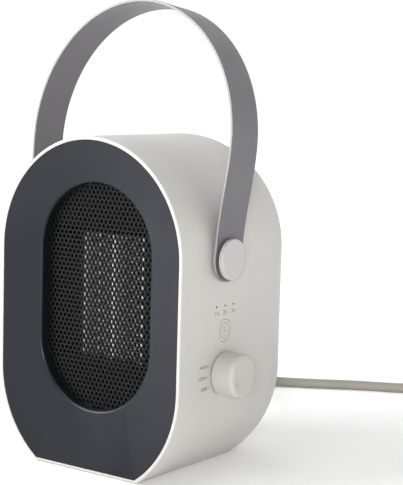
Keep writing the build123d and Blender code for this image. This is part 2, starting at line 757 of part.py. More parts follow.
# ---------------------------------------------------------------- controls
KNOB_IN = RIGHT + 0.9
KNOB_OUT = KNOB_IN + KNOB_L
SPINDLE_R = 3.0
SWITCH_IN = 62.5
SWITCH_OUT = RIGHT - WALL - 0.2
POINTER_R = 9.6          # from the knob's axis to its ring mark
POINTER_TURN = 30.0      # the mark points this far below the front, at OFF

with BuildPart() as knob:
    with BuildSketch(side(KNOB_IN)):
        with Locations((KNOB_Y, KNOB_Z)):
            Circle(KNOB_R)
    extrude(amount=KNOB_L)
    fillet(knob.edges().filter_by(GeomType.CIRCLE).sort_by(Axis.X)[-1], 3.0)
    with BuildSketch(side(KNOB_OUT)):
        mark_y = KNOB_Y - POINTER_R * cos(radians(POINTER_TURN))
        mark_z = KNOB_Z - POINTER_R * sin(radians(POINTER_TURN))
        with Locations((mark_y, mark_z)):
            Circle(1.6)
            Circle(1.0, mode=Mode.SUBTRACT)
    extrude(amount=-0.25, mode=Mode.SUBTRACT)
    with BuildSketch(side(KNOB_IN)):
        with Locations((KNOB_Y, KNOB_Z)):
            Circle(KNOB_R - 2.2)
            Circle(5.5, mode=Mode.SUBTRACT)
    extrude(amount=KNOB_L - 3.5, mode=Mode.SUBTRACT)
    with BuildSketch(side(KNOB_IN)):
        with Locations((KNOB_Y, KNOB_Z)):
            Circle(SPINDLE_R)
    extrude(amount=10.5, mode=Mode.SUBTRACT)
keep(knob, "knob")

with BuildPart() as knob_shaft:
    with BuildSketch(side(SWITCH_IN + 3)):
        with Locations((KNOB_Y, KNOB_Z)):
            Circle(SPINDLE_R)
    extrude(amount=KNOB_IN + 10.5 - SWITCH_IN - 3)
keep(knob_shaft, "knob_shaft")

with BuildPart() as rotary_switch:
    with BuildSketch(side(SWITCH_IN)):
        with Locations((KNOB_Y, KNOB_Z)):
            RectangleRounded(24, 24, 1.5)
    extrude(amount=SWITCH_OUT - SWITCH_IN)
    with BuildSketch(side(SWITCH_OUT)):
        with Locations((KNOB_Y, KNOB_Z)):
            Circle(4.7)
    extrude(amount=RIGHT + 0.1 - SWITCH_OUT)
    with BuildSketch(side(SWITCH_IN - 6)):
        with Locations((KNOB_Y, KNOB_Z)), GridLocations(7, 12, 3, 2):
            Rectangle(4.8, 0.8)
    extrude(amount=6)
    with BuildSketch(side(SWITCH_IN + 2.5)):
        with Locations((KNOB_Y, KNOB_Z)):
            Circle(SPINDLE_R + 0.06)
    extrude(amount=40, mode=Mode.SUBTRACT)
keep(rotary_switch, "rotary_switch")

BOARD_SPOTS = [(y, z) for y in POST_Y for z in POST_Z]
LAMP_SPOTS = [(BUTTON_Y + k * LIGHT_PITCH, LIGHT_Z) for k in (-1, 0, 1)]
BOARD_FACE = BOARD_X + BOARD_T
BUTTON_OUT = RIGHT + 0.15
BUTTON_TRAVEL = 1.0
FLANGE_OUT = RIGHT - WALL - CLEAR
STEM_IN = 78.2

with BuildPart() as control_board:
    with BuildSketch(side(BOARD_X)):
        with Locations((BUTTON_Y, (POST_Z[0] + POST_Z[1]) / 2)):
            RectangleRounded(42, 46, 2)
        with Locations(*BOARD_SPOTS):
            Circle(1.6, mode=Mode.SUBTRACT)
    extrude(amount=BOARD_T)
keep(control_board, "control_board")

with BuildPart() as board_screws:
    with BuildSketch(side(BOARD_X)):
        with Locations(*BOARD_SPOTS):
            Circle(2.6)
    extrude(amount=-1.6)
    with BuildSketch(side(BOARD_X - 1)):
        with Locations(*BOARD_SPOTS):
            Circle(1.2)
    extrude(amount=8)
keep(board_screws, "board_screws")

with BuildPart() as push_switch:
    with BuildSketch(side(BOARD_FACE)):
        with Locations((BUTTON_Y, BUTTON_Z)):
            RectangleRounded(6.2, 6.2, 0.5)
    extrude(amount=3.0)
    with BuildSketch(side(BOARD_FACE + 2.5)):
        with Locations((BUTTON_Y, BUTTON_Z)):
            Circle(1.75)
    extrude(amount=STEM_IN - BUTTON_TRAVEL - CLEAR - BOARD_FACE - 2.5)
keep(push_switch, "push_switch")

with BuildPart() as timer_button:
    with BuildSketch(side(FLANGE_OUT - 2.2)):
        with Locations((BUTTON_Y, BUTTON_Z)):
            Circle(10.2)
    extrude(amount=2.2)
    with BuildSketch(side(FLANGE_OUT - 0.5)):
        with Locations((BUTTON_Y, BUTTON_Z)):
            Circle(BUTTON_R)
    extrude(amount=BUTTON_OUT - FLANGE_OUT + 0.5)
    fillet(timer_button.edges().filter_by(GeomType.CIRCLE).sort_by(Axis.X)[-1], 0.3)
    with BuildSketch(side(STEM_IN)):
        with Locations((BUTTON_Y, BUTTON_Z)):
            Circle(2.0)
    extrude(amount=FLANGE_OUT - 2 - STEM_IN)
keep(timer_button, "timer_button")

with BuildPart() as status_lamps:
    with BuildSketch(side(BOARD_FACE)):
        with Locations(*LAMP_SPOTS):
            Rectangle(2.0, 1.25)
    extrude(amount=0.8)
keep(status_lamps, "status_lamps")

with BuildPart() as light_pipes:
    with BuildSketch(side(BOARD_FACE + 1.0)):
        with Locations(*LAMP_SPOTS):
            Circle(PIPE_R)
    extrude(amount=RIGHT + 0.05 - BOARD_FACE - 1.0)
    # a thin bar inside the wall joins the three pipes
    with BuildSketch(side(RIGHT - WALL - 1.5)):
        with Locations((BUTTON_Y, LIGHT_Z)):
            RectangleRounded(2 * LIGHT_PITCH + 5, 4, 1.5)
    extrude(amount=1.4)
keep(light_pipes, "light_pipes")

# ---------------------------------------------------------------- tip-over switch and wiring
TIP_X = 24.0
TIP_Y = 6.0
PLUNGER_R = 3.0
TIP_BASE = PAD_GAP + FLOOR + 2.0

with BuildPart() as tip_switch:
    with BuildSketch(Plane.XY.offset(TIP_BASE)):
        with Locations((TIP_X, TIP_Y)):
            RectangleRounded(20, 14, 1)
    extrude(amount=22)
    with BuildSketch(Plane.XY.offset(TIP_BASE - 1)):
        with Locations((TIP_X, TIP_Y)):
            Circle(PLUNGER_R + 0.06)
    extrude(amount=18, mode=Mode.SUBTRACT)
keep(tip_switch, "tip_switch")

with BuildPart() as tip_plunger:
    with BuildSketch(Plane.XY):
        with Locations((TIP_X, TIP_Y)):
            Circle(PLUNGER_R)
    extrude(amount=TIP_BASE + 12)
    fillet(tip_plunger.edges().filter_by(GeomType.CIRCLE).sort_by(Axis.Z)[0], 0.8)
keep(tip_plunger, "tip_plunger")

BLOCK_X = -10.0
BLOCK_Y = 50.0
BLOCK_TOP = PAD_GAP + FLOOR + 12.0

with BuildPart() as terminal_block:
    with BuildSketch(Plane.XY.offset(PAD_GAP + FLOOR)):
        with Locations((BLOCK_X, BLOCK_Y)):
            RectangleRounded(34, 12, 1)
    extrude(amount=12)
    with BuildSketch(Plane.XY.offset(BLOCK_TOP)):
        with Locations((BLOCK_X, BLOCK_Y)), GridLocations(11, 1, 3, 1):
            Circle(1.7)
    extrude(amount=-5, mode=Mode.SUBTRACT)
keep(terminal_block, "terminal_block")

LEAD_R = 1.1
MOTOR_TAIL = (8.0, MOTOR_BACK + 3.0, WINDOW_C - MOTOR_R - 2)
LEADS = [
    [(GLAND_X, 73, GLAND_Z), (GLAND_X, 62, GLAND_Z - 4), (BLOCK_X, BLOCK_Y, 34), (BLOCK_X, BLOCK_Y, BLOCK_TOP)],
    [(BLOCK_X + 11, BLOCK_Y, BLOCK_TOP), (BLOCK_X + 11, BLOCK_Y, 34), (10, 56, 60), MOTOR_TAIL],
    [(BLOCK_X - 11, BLOCK_Y, BLOCK_TOP), (BLOCK_X - 11, BLOCK_Y, 26), (50, 30, 34), (50, KNOB_Y + 8, KNOB_Z)],
    [(56, KNOB_Y + 18, KNOB_Z), (62, KNOB_Y + 20, BUTTON_Z - 10), (BOARD_X, KNOB_Y + 18, BUTTON_Z + 4)],
]

with BuildPart() as internal_leads:
    for spots in LEADS:
        with BuildLine():
            run = FilletPolyline(*spots, radius=5)
        with BuildSketch(Plane(origin=spots[0], z_dir=run % 0)):
            Circle(LEAD_R)
        sweep(path=run)
keep(internal_leads, "internal_leads")

# ---------------------------------------------------------------- mains cord
RELIEF_L = 33.0          # strain relief, outside the shell
RELIEF_TIP_R = 5.6
SLEEVE_L = 28.0
PLUG_TILT = 11.2         # the plug rests on its widest edge, so its axis tilts
PLUG_RUN = 10.5          # last stretch of cord, in line with the plug
COIL_LIFT = 0.8          # the tie under the coil
LAYER_1 = COIL_LIFT + CORD_R
LAYER_2 = LAYER_1 + CORD_D
TURN_OUT = COIL_MID_R + CORD_D
ARRIVE = radians(110)    # where the cord runs into the coil, seen from above
FLAT = CORD_R            # centre height of a cord that lies on the table

with BuildPart() as strain_relief:
    with BuildSketch(across(BACK)):
        with Locations((GLAND_X, GLAND_Z)):
            Circle(9.0)
    extrude(amount=-3)
    with BuildSketch(across(BACK + 3)):
        with Locations((GLAND_X, GLAND_Z)):
            Circle(7.6)
    with BuildSketch(across(BACK + RELIEF_L)):
        with Locations((GLAND_X, GLAND_Z)):
            Circle(RELIEF_TIP_R)
    loft()
    with BuildSketch(across(BACK)):
        with Locations((GLAND_X, GLAND_Z)):
            Circle(GLAND_HOLE_R - 0.1)
    extrude(amount=6)
    with BuildSketch(across(BACK - WALL - 0.1)):
        with Locations((GLAND_X, GLAND_Z)):
            Circle(8.0)
    extrude(amount=3)
keep(strain_relief, "strain_relief")

ROUTE = [
    (GLAND_X, BACK + RELIEF_L, GLAND_Z),
    (-26, 145, 49),
    (-44, 173.5, 42),
    (-70, 196, 26),
    (-76, 228, 13),
    (-60, 257.5, FLAT),
    (-20, 279, FLAT),
    (8, 298.3, FLAT),
    (40, 313, FLAT),
    (84, 336, 4.8),
    (COIL_X + TURN_OUT * cos(ARRIVE), COIL_Y + TURN_OUT * sin(ARRIVE), LAYER_1),
]
LEAD_X = COIL_X + COIL_MID_R + CORD_R
PLUG_COS = cos(radians(PLUG_TILT))
PLUG_SIN = sin(radians(PLUG_TILT))
LEAD_ROUTE = [
    (LEAD_X, COIL_Y, LAYER_2),
    (LEAD_X, COIL_Y - 20, 13.6),
    (LEAD_X, COIL_Y - 56, 4.6),
    (LEAD_X, COIL_Y - 76, FLAT),
    (LEAD_X, COIL_Y - 76 - PLUG_RUN * PLUG_COS, FLAT + PLUG_RUN * PLUG_SIN),
]


def bend_radii(route):
    """One radius for each corner, as large as its two runs allow."""
    points = [Vector(*spot) for spot in route]
    radii = []
    for a, b, c in zip(points, points[1:], points[2:]):
        turn = radians((b - a).get_angle(c - b))
        radii.append(0.45 * min((b - a).length, (c - b).length) / tan(turn / 2))
    return radii


def cord_tube_along(route, name):
    """Round cord of straight runs and tangent arcs along a route."""
    radii = bend_radii(route)
    print(name, "bend radii", [round(r, 1) for r in radii])
    with BuildPart() as form:
        with BuildLine():
            path = FilletPolyline(*route, radius=radii)
        with BuildSketch(Plane(origin=route[0], z_dir=path % 0)):
            Circle(CORD_R)
        sweep(path=path)
    expected = pi * CORD_R**2 * path.length
    print(name, "length", round(path.length, 1), "volume ratio", round(form.part.volume / expected, 4))
    return form.part


with BuildPart() as cord_tube:
    add(cord_tube_along(ROUTE, "cord_tube"))
keep(cord_tube, "cord_tube")

with BuildPart() as cord_coil:
    with BuildSketch(Plane.XY.offset(COIL_LIFT)):
        with Locations((COIL_X, COIL_Y)):
            Circle(COIL_MID_R + 1.5 * CORD_D)
            Circle(COIL_MID_R - 1.5 * CORD_D, mode=Mode.SUBTRACT)
    extrude(amount=2 * CORD_D)
keep(cord_coil, "cord_coil")

with BuildPart() as coil_tie:
    with BuildSketch(side(COIL_X - 6)):
        with Locations((COIL_Y - COIL_MID_R + 0.25, COIL_LIFT + CORD_D)):
            RectangleRounded(3 * CORD_D + 2.5, 2 * CORD_D + 2 * COIL_LIFT, 0.6)
            Rectangle(3 * CORD_D + 0.9, 2 * CORD_D, mode=Mode.SUBTRACT)
    extrude(amount=12)
keep(coil_tie, "coil_tie")

with BuildPart() as cord_lead:
    add(cord_tube_along(LEAD_ROUTE, "cord_lead"))
keep(cord_lead, "cord_lead")

PLUG_DIR = Vector(0, -PLUG_COS, PLUG_SIN)
PLUG_START = Vector(*LEAD_ROUTE[-1])
PLUG_L = 50.0
PLUG_R = 19.0
PIN_R = 2.4
PIN_ROOT_R = 1.9         # the pins are thinner where they sit in the plug


def along_plug(distance):
    """Sketch plane across the plug's axis, at a distance from the sleeve's rear end."""
    return Plane(origin=PLUG_START + PLUG_DIR * distance, x_dir=(1, 0, 0), z_dir=PLUG_DIR)


with BuildPart() as plug_sleeve:
    with BuildSketch(along_plug(0)):
        Circle(CORD_R + 0.8)
    with BuildSketch(along_plug(SLEEVE_L)):
        Circle(7.5)
    loft()
    for k in range(4):
        with BuildSketch(along_plug(4 + 5.5 * k)):
            Circle(12)
            Circle(CORD_R + 0.6 + 0.35 * k, mode=Mode.SUBTRACT)
        extrude(amount=1.8, mode=Mode.SUBTRACT)
keep(plug_sleeve, "plug_sleeve")

with BuildPart() as plug_body:
    for start, near, end, far in ((0, 10.0, 14, 11.0), (14, 11.0, 33, 18.0), (33, 18.0, 36, PLUG_R)):
        with BuildSketch(along_plug(SLEEVE_L + start)):
            Circle(near)
        with BuildSketch(along_plug(SLEEVE_L + end)):
            Circle(far)
        loft()
    with BuildSketch(along_plug(SLEEVE_L + 36)):
        Circle(PLUG_R)
    extrude(amount=PLUG_L - 36)
    chamfer(plug_body.edges().filter_by(GeomType.CIRCLE).sort_by(Axis.Y)[0], 0.8)
    # keyways left and right, recesses for the earth clips, and the earth socket
    with BuildSketch(along_plug(SLEEVE_L + PLUG_L)):
        with Locations((-PLUG_R, 0), (PLUG_R, 0)):
            Rectangle(5, 5)
        with Locations((0, -PLUG_R), (0, PLUG_R)):
            Rectangle(6, 3)
    extrude(amount=-17, mode=Mode.SUBTRACT)
    with BuildSketch(along_plug(SLEEVE_L + PLUG_L)):
        with Locations((0, -10)):
            Circle(PIN_R)
        with Locations((-9.5, 0), (9.5, 0)):
            Circle(PIN_ROOT_R)
    extrude(amount=-15, mode=Mode.SUBTRACT)
keep(plug_body, "plug_body")

with BuildPart() as plug_pins:
    with BuildSketch(along_plug(SLEEVE_L + PLUG_L - 15)):
        with Locations((-9.5, 0), (9.5, 0)):
            Circle(PIN_ROOT_R)
    extrude(amount=15)
    with BuildSketch(along_plug(SLEEVE_L + PLUG_L)):
        with Locations((-9.5, 0), (9.5, 0)):
            Circle(PIN_R)
    extrude(amount=19)
    chamfer(plug_pins.edges().filter_by(GeomType.CIRCLE).group_by(Axis.Y)[0], 0.6)
keep(plug_pins, "plug_pins")

with BuildPart() as earth_clips:
    with BuildSketch(along_plug(SLEEVE_L + PLUG_L - 17)):
        with Locations((0, -PLUG_R + 1.0), (0, PLUG_R - 1.0)):
            Rectangle(5, 0.8)
    extrude(amount=17)
keep(earth_clips, "earth_clips")

# ---------------------------------------------------------------- one STEP file per piece
for piece in parts:
    export_step(piece, f"parts/{piece.label}.step")
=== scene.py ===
import bpy
import bmesh
import json
from math import cos, pi, radians, sin
from mathutils import Matrix, Vector


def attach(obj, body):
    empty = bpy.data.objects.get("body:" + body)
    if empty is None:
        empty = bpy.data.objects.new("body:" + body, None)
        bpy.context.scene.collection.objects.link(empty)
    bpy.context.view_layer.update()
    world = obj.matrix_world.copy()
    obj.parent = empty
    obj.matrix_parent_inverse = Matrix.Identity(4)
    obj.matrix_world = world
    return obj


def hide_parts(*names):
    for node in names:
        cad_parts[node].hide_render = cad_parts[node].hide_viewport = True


# Compact ceramic fan heater with a swinging strap handle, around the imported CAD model.
# Metres. +Z up, the front faces -Y, +X is the side with the controls.
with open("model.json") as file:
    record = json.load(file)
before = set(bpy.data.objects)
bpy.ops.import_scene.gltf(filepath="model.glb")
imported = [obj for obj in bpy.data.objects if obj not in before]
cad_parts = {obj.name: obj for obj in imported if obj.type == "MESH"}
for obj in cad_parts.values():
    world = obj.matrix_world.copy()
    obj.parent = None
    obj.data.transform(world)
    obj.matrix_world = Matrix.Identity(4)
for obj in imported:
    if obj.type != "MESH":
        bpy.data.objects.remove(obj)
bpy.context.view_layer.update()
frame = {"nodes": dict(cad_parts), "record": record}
nodes = frame["nodes"]


# ---------------------------------------------------------------- camera
def make_camera():
    """Camera on the front right, a little above the middle, rolled by a degree or so."""
    azimuth, elevation, roll = radians(35.744), radians(6.735), radians(1.572)
    middle = Vector((0, 0, 0.1308))
    distance, aside, above = 1.077114, 0.0350, 0.03295
    back = Vector((sin(azimuth) * cos(elevation), -cos(azimuth) * cos(elevation), sin(elevation)))
    right = (-back).cross(Vector((0, 0, 1))).normalized()
    up = right.cross(-back)
    place = middle + back * distance + right * aside + up * above
    turned_right = right * cos(roll) + up * sin(roll)
    turned_up = up * cos(roll) - right * sin(roll)
    data = bpy.data.cameras.new("camera")
    data.lens = 104.19
    data.clip_start, data.clip_end = 0.05, 30
    camera = bpy.data.objects.new("camera", data)
    bpy.context.scene.collection.objects.link(camera)
    axes = Matrix((turned_right, turned_up, back)).transposed()
    camera.matrix_world = Matrix.Translation(place) @ axes.to_4x4()
    bpy.context.scene.camera = camera


make_camera()

# ---------------------------------------------------------------- mains cord
CORD_D = 0.0088
COIL_X, COIL_Y = 0.145, 0.2975
COIL_MID_R = 0.0485
COIL_LIFT = 0.0008
LAYER_1 = COIL_LIFT + CORD_D / 2
LAYER_2 = LAYER_1 + CORD_D
ARRIVE = 110.0                 # degrees round the coil where the cord runs in, seen from above
STEP = 20.0                    # degrees from one point of a turn to the next
LIE = CORD_D / 2
ROUTE = [
    (-0.025, 0.113, 0.050),
    (-0.026, 0.145, 0.049),
    (-0.044, 0.1735, 0.042),
    (-0.070, 0.196, 0.026),
    (-0.076, 0.228, 0.013),
    (-0.060, 0.2575, LIE),
    (-0.020, 0.279, LIE),
    (0.008, 0.2983, LIE),
    (0.040, 0.313, LIE),
    (0.084, 0.336, 0.0048),
]
LEAD_X = COIL_X + COIL_MID_R + CORD_D / 2
LEAD = [
    (LEAD_X, COIL_Y - 0.020, 0.0136),
    (LEAD_X, COIL_Y - 0.056, 0.0046),
    (LEAD_X, COIL_Y - 0.076, LIE),
]


def smooth_step(value):
    """0 below 0, 1 above 1, and a soft rise between."""
    value = min(1, max(0, value))
    return value * value * (3 - 2 * value)


def coil_points():
    """Three and a bit turns: two spiral inwards on the table, the rest spiral out on top."""
    whole = ARRIVE + 3 * 360
    points = []
    for k in range(int(whole // STEP) + 1):
        turned = k * STEP
        turns = turned / 360
        if turns < 2:
            radius = COIL_MID_R + CORD_D * (1 - turns)
        else:
            radius = COIL_MID_R - CORD_D + 1.5 * CORD_D * (turns - 2) / (whole / 360 - 2)
        height = LAYER_1 + CORD_D * smooth_step((turns - 1.72) / 0.36)
        # a curve of this kind runs inside its points, so they stand a little further out
        reach = radius / cos(radians(STEP / 2))
        angle = radians(ARRIVE - turned)
        points.append((COIL_X + reach * cos(angle), COIL_Y + reach * sin(angle), height))
    return points


def make_cord(plug_start):
    data = bpy.data.curves.new("mains_cord", "CURVE")
    data.dimensions = "3D"
    line = data.splines.new("NURBS")
    points = ROUTE + coil_points() + LEAD + [tuple(plug_start)]
    line.points.add(len(points) - 1)
    for spot, place in zip(line.points, points):
        spot.co = (*place, 1)
        spot.radius = CORD_D / 2
    line.order_u = 3
    line.use_endpoint_u = True
    line.resolution_u = 8
    data.bevel_depth = 1.0
    data.bevel_resolution = 6
    data.use_fill_caps = True
    cord = bpy.data.objects.new("mains_cord", data)
    bpy.context.scene.collection.objects.link(cord)
    return cord


# the last stretch rises a little into the plug's sleeve
PLUG_TILT = radians(11.2)
PLUG_RUN = 0.0105
PLUG_START = Vector((LEAD_X, LEAD[-1][1] - PLUG_RUN * cos(PLUG_TILT), LIE + PLUG_RUN * sin(PLUG_TILT)))
mains_cord = make_cord(PLUG_START)
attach(mains_cord, "housing")
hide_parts("cord_tube", "cord_coil", "cord_lead")


# ---------------------------------------------------------------- materials
class Material:
    """A node material: a principled shader whose colour, roughness and bump vary over the surface."""

    def __init__(self, name, roughness=0.5, **sockets):
        self.material = bpy.data.materials.new(name)
        self.material.use_nodes = True
        self.tree = self.material.node_tree
        self.shader = self.tree.nodes["Principled BSDF"]
        self.shader.inputs["Roughness"].default_value = roughness
        for socket, value in sockets.items():
            self.shader.inputs[socket.replace("_", " ")].default_value = value
        self.normal = None
        self.place = self.node("ShaderNodeTexCoord").outputs["Object"]

    def node(self, kind, **settings):
        made = self.tree.nodes.new(kind)
        for name, value in settings.items():
            if name in made.inputs:
                made.inputs[name].default_value = value
            else:
                setattr(made, name, value)
        return made

    def link(self, source, target):
        self.tree.links.new(source, target)

    def noise(self, scale, detail=3.0, roughness=0.5):
        made = self.node("ShaderNodeTexNoise", Scale=scale, Detail=detail, Roughness=roughness)
        self.link(self.place, made.inputs["Vector"])
        return made.outputs["Fac"]

    def ramp(self, source, low, high, start=0.3, end=0.7):
        """Colour that runs from low to high as source runs from start to end."""
        made = self.node("ShaderNodeValToRGB")
        made.color_ramp.elements[0].position, made.color_ramp.elements[0].color = start, (*low, 1)
        made.color_ramp.elements[1].position, made.color_ramp.elements[1].color = end, (*high, 1)
        self.link(source, made.inputs["Fac"])
        return made.outputs["Color"]

    def vary(self, source, socket, low, high):
        made = self.node("ShaderNodeMapRange")
        made.inputs["From Min"].default_value, made.inputs["From Max"].default_value = 0.3, 0.7
        made.inputs["To Min"].default_value, made.inputs["To Max"].default_value = low, high
        self.link(source, made.inputs["Value"])
        self.link(made.outputs["Result"], self.shader.inputs[socket])

    def colour(self, output):
        self.link(output, self.shader.inputs["Base Color"])

    def bump(self, height, distance, strength=1.0):
        """Bump of a real height in metres, on top of any bump before it."""
        made = self.node("ShaderNodeBump", Strength=strength, Distance=distance)
        self.link(height, made.inputs["Height"])
        if self.normal:
            self.link(self.normal, made.inputs["Normal"])
        self.normal = made.outputs["Normal"]
        self.link(self.normal, self.shader.inputs["Normal"])


def pale_edges_with_painted_highlight(made, axis, colour, edge_colour_with_highlight):
    """A lighter colour on the faces that look along the axis, in the object's own frame: partly a paler edge,
    partly a painted highlight where those edges catch the light.
    """
    facing = made.node("ShaderNodeVectorMath", operation="DOT_PRODUCT")
    made.link(made.tree.nodes["Texture Coordinate"].outputs["Normal"], facing.inputs[0])
    facing.inputs[1].default_value = axis
    size = made.node("ShaderNodeMath", operation="ABSOLUTE")
    made.link(facing.outputs["Value"], size.inputs[0])
    made.colour(made.ramp(size.outputs[0], colour, edge_colour_with_highlight, 0.45, 0.8))


def plastic(name, colour, roughness, drift=0.05, grain=0.00003, grain_scale=2600.0, **sockets):
    """Moulded plastic: fine spark-eroded grain, slow colour drift and patches of shine."""
    made = Material(name, roughness, **sockets)
    slow = made.noise(14.0, 2.0)
    low = [c * (1 - drift) for c in colour]
    high = [c * (1 + drift) for c in colour]
    made.colour(made.ramp(slow, low, high))
    made.vary(made.noise(45.0, 4.0), "Roughness", roughness - 0.05, roughness + 0.06)
    made.bump(made.noise(grain_scale, 2.0), grain, 0.6)
    return made


def metal(name, colour, roughness, metallic=1.0, scratch=400.0):
    made = Material(name, roughness, Metallic=metallic)
    worn = made.noise(scratch, 5.0, 0.6)
    made.colour(made.ramp(worn, [c * 0.85 for c in colour], colour))
    made.vary(made.noise(90.0, 4.0), "Roughness", roughness - 0.07, roughness + 0.09)
    made.bump(worn, 0.00002, 0.4)
    return made


def strap_material():
    """Coated strap: fine mottled grain, and pale edges that are partly a lighter edge colour and partly a
    painted highlight on the edges facing front and back.
    """
    made = plastic("strap_rubber", (0.120, 0.116, 0.128), 0.42, 0.03, 0.00001, 1300.0, Specular_IOR_Level=0.6)
    # the edges that face front and back are painted lighter: partly a paler edge, partly a painted highlight
    # where the light catches them
    pale_edges_with_painted_highlight(made, (0, -0.9925, 0.1219), (0.120, 0.116, 0.128), (0.30, 0.295, 0.29))
    return made


def grille_paint():
    """Black powder coat over punched sheet, a little worn and rounded at the edges of the holes."""
    made = plastic("grille_paint", (0.004, 0.004, 0.0045), 0.34, 0.06, 0.000004, Specular_IOR_Level=0.2)
    rounded = made.node("ShaderNodeBevel", samples=6, Radius=0.00045)
    first = made.tree.nodes["Bump"]
    made.link(rounded.outputs["Normal"], first.inputs["Normal"])
    return made


materials = {
    "shell": plastic("shell_plastic", (0.525, 0.512, 0.484), 0.38, 0.012),
    # the same shell plastic painted about 8 percent darker for the cap and knob: painted shade, so they come
    # out no brighter than the housing side around them
    "shell_with_painted_shade": plastic("shell_plastic_painted_darker", (0.485, 0.471, 0.445), 0.38, 0.012),
    "panel": plastic("panel_plastic", (0.0058, 0.0062, 0.0080), 0.34, 0.04, 0.000003,
                     Specular_IOR_Level=0.37, Specular_Tint=(0.82, 0.85, 1.0, 1)),
    "grille": grille_paint(),
    "duct": plastic("duct_plastic", (0.012, 0.012, 0.013), 0.6, 0.1),
    "strap": strap_material(),
    "washer": plastic("washer_plastic", (0.22, 0.22, 0.22), 0.55, 0.03),
    "cord": plastic("cord_vinyl", (0.285, 0.270, 0.228), 0.45, 0.04),
    "tie": plastic("tie_plastic", (0.03, 0.03, 0.032), 0.5, 0.05),
    "switch": plastic("switch_plastic", (0.03, 0.03, 0.033), 0.5, 0.05),
    "board": plastic("board_laminate", (0.02, 0.11, 0.045), 0.34, 0.1),
    "lead": plastic("lead_silicone", (0.30, 0.03, 0.02), 0.45, 0.05),
    "pad": plastic("pad_rubber", (0.02, 0.02, 0.02), 0.75, 0.1),
    "light": plastic("light_lens", (0.02, 0.02, 0.021), 0.2, 0.05),
    "frame": plastic("frame_resin", (0.03, 0.028, 0.026), 0.6, 0.1),
    "impeller": plastic("impeller_plastic", (0.03, 0.03, 0.033), 0.45, 0.08),
    "fins": metal("fin_aluminium", (0.60, 0.60, 0.61), 0.42, 0.5),
    # the bars' near-white, barely metallic colour is partly the pale aluminium and partly a painted
    # reflection that keeps them bright inside the dark core
    "bars": metal("bar_aluminium_painted_bright", (0.99, 0.99, 0.99), 0.40, 0.1),
    "strips": metal("strip_steel", (0.60, 0.60, 0.61), 0.38),
    "steel": metal("steel", (0.56, 0.56, 0.57), 0.37),
    "screw": metal("screw_zinc", (0.55, 0.55, 0.57), 0.38),
    "pin": metal("pin_nickel", (0.72, 0.71, 0.68), 0.16),
}
dark_ink = plastic("dark_ink", (0.085, 0.083, 0.08), 0.6, 0.1)
pale_ink = plastic("pale_ink", (0.24, 0.225, 0.20), 0.6, 0.1)
# cap and knob take the shell plastic with painted shade
SAME = {"rear_grille": "shell", "cap": "shell_with_painted_shade", "knob": "shell_with_painted_shade", "button": "shell", "plug": "cord"}

for row in frame["record"]["subparts"]:
    slot_name = row["material_slot"]
    mesh = nodes[row["node"]].data
    chosen = materials[SAME.get(slot_name, slot_name)].material
    mesh.materials.clear()
    mesh.materials.append(chosen)
mains_cord.data.materials.append(materials["cord"].material)


# ---------------------------------------------------------------- printed marks
SIDE_X = 0.085                 # outer face of the housing's right side
BUTTON_X = 0.08515
KNOB_X = 0.1035
INK = 0.00004                  # thickness of the print
BUTTON_Y, BUTTON_Z = -0.027, 0.1092
KNOB_Y, KNOB_Z = -0.027, 0.0781
TOWARDS_X = Matrix(((0, 0, 1), (1, 0, 0), (0, 1, 0)))     # text and flat shapes that face +X


def print_text(name, words, middle, size, width):
    """Words on the right side, with middle=(y, z)."""
    data = bpy.data.curves.new(name, "FONT")
    data.body = words
    data.size = size
    data.offset = size * 0.004
    data.align_x, data.align_y = "CENTER", "CENTER"
    data.extrude = INK
    data.resolution_u = 4
    text = bpy.data.objects.new(name, data)
    bpy.context.scene.collection.objects.link(text)
    bpy.context.view_layer.update()
    stretch = width / text.dimensions.x
    spread = Matrix.Diagonal((stretch, 1, 1, 1))
    text.matrix_world = Matrix.Translation((SIDE_X, *middle)) @ TOWARDS_X.to_4x4() @ spread
    return text


def add_ring(form, centre, inner, outer, steps=48):
    """A flat ring or disc that faces +X, one print thick, with centre=(x, y, z)."""
    rows = []
    for height in (0, INK):
        for radius in (outer, inner):
            row = []
            for k in range(steps):
                angle = 2 * pi * k / steps
                place = Vector(centre) + Vector((height, radius * cos(angle), radius * sin(angle)))
                row.append(form.verts.new(place))
            rows.append(row)
    low_out, low_in, high_out, high_in = rows
    for k in range(steps):
        n = (k + 1) % steps
        form.faces.new((high_out[k], high_out[n], high_in[n], high_in[k]))
        form.faces.new((low_out[k], low_out[n], high_out[n], high_out[k]))
        form.faces.new((high_in[k], high_in[n], low_in[n], low_in[k]))
        form.faces.new((low_in[k], low_in[n], low_out[n], low_out[k]))


def add_bar(form, x, start, end, width):
    """A flat bar from start=(y, z) to end that faces +X, one print thick."""
    run = Vector(end) - Vector(start)
    aside = Vector((-run.y, run.x)).normalized() * width / 2
    corners = [Vector(start) - aside, Vector(end) - aside, Vector(end) + aside, Vector(start) + aside]
    low = [form.verts.new((x, *corner)) for corner in corners]
    high = [form.verts.new((x + INK, *corner)) for corner in corners]
    form.faces.new(high)
    for k in range(4):
        n = (k + 1) % 4
        form.faces.new((low[k], low[n], high[n], high[k]))


def print_mark(name, form):
    data = bpy.data.meshes.new(name)
    bmesh.ops.recalc_face_normals(form, faces=form.faces)
    form.to_mesh(data)
    form.free()
    mark = bpy.data.objects.new(name, data)
    bpy.context.scene.collection.objects.link(mark)
    return mark


def finish_print(piece, body, ink):
    piece.data.materials.append(ink.material)
    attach(piece, body)


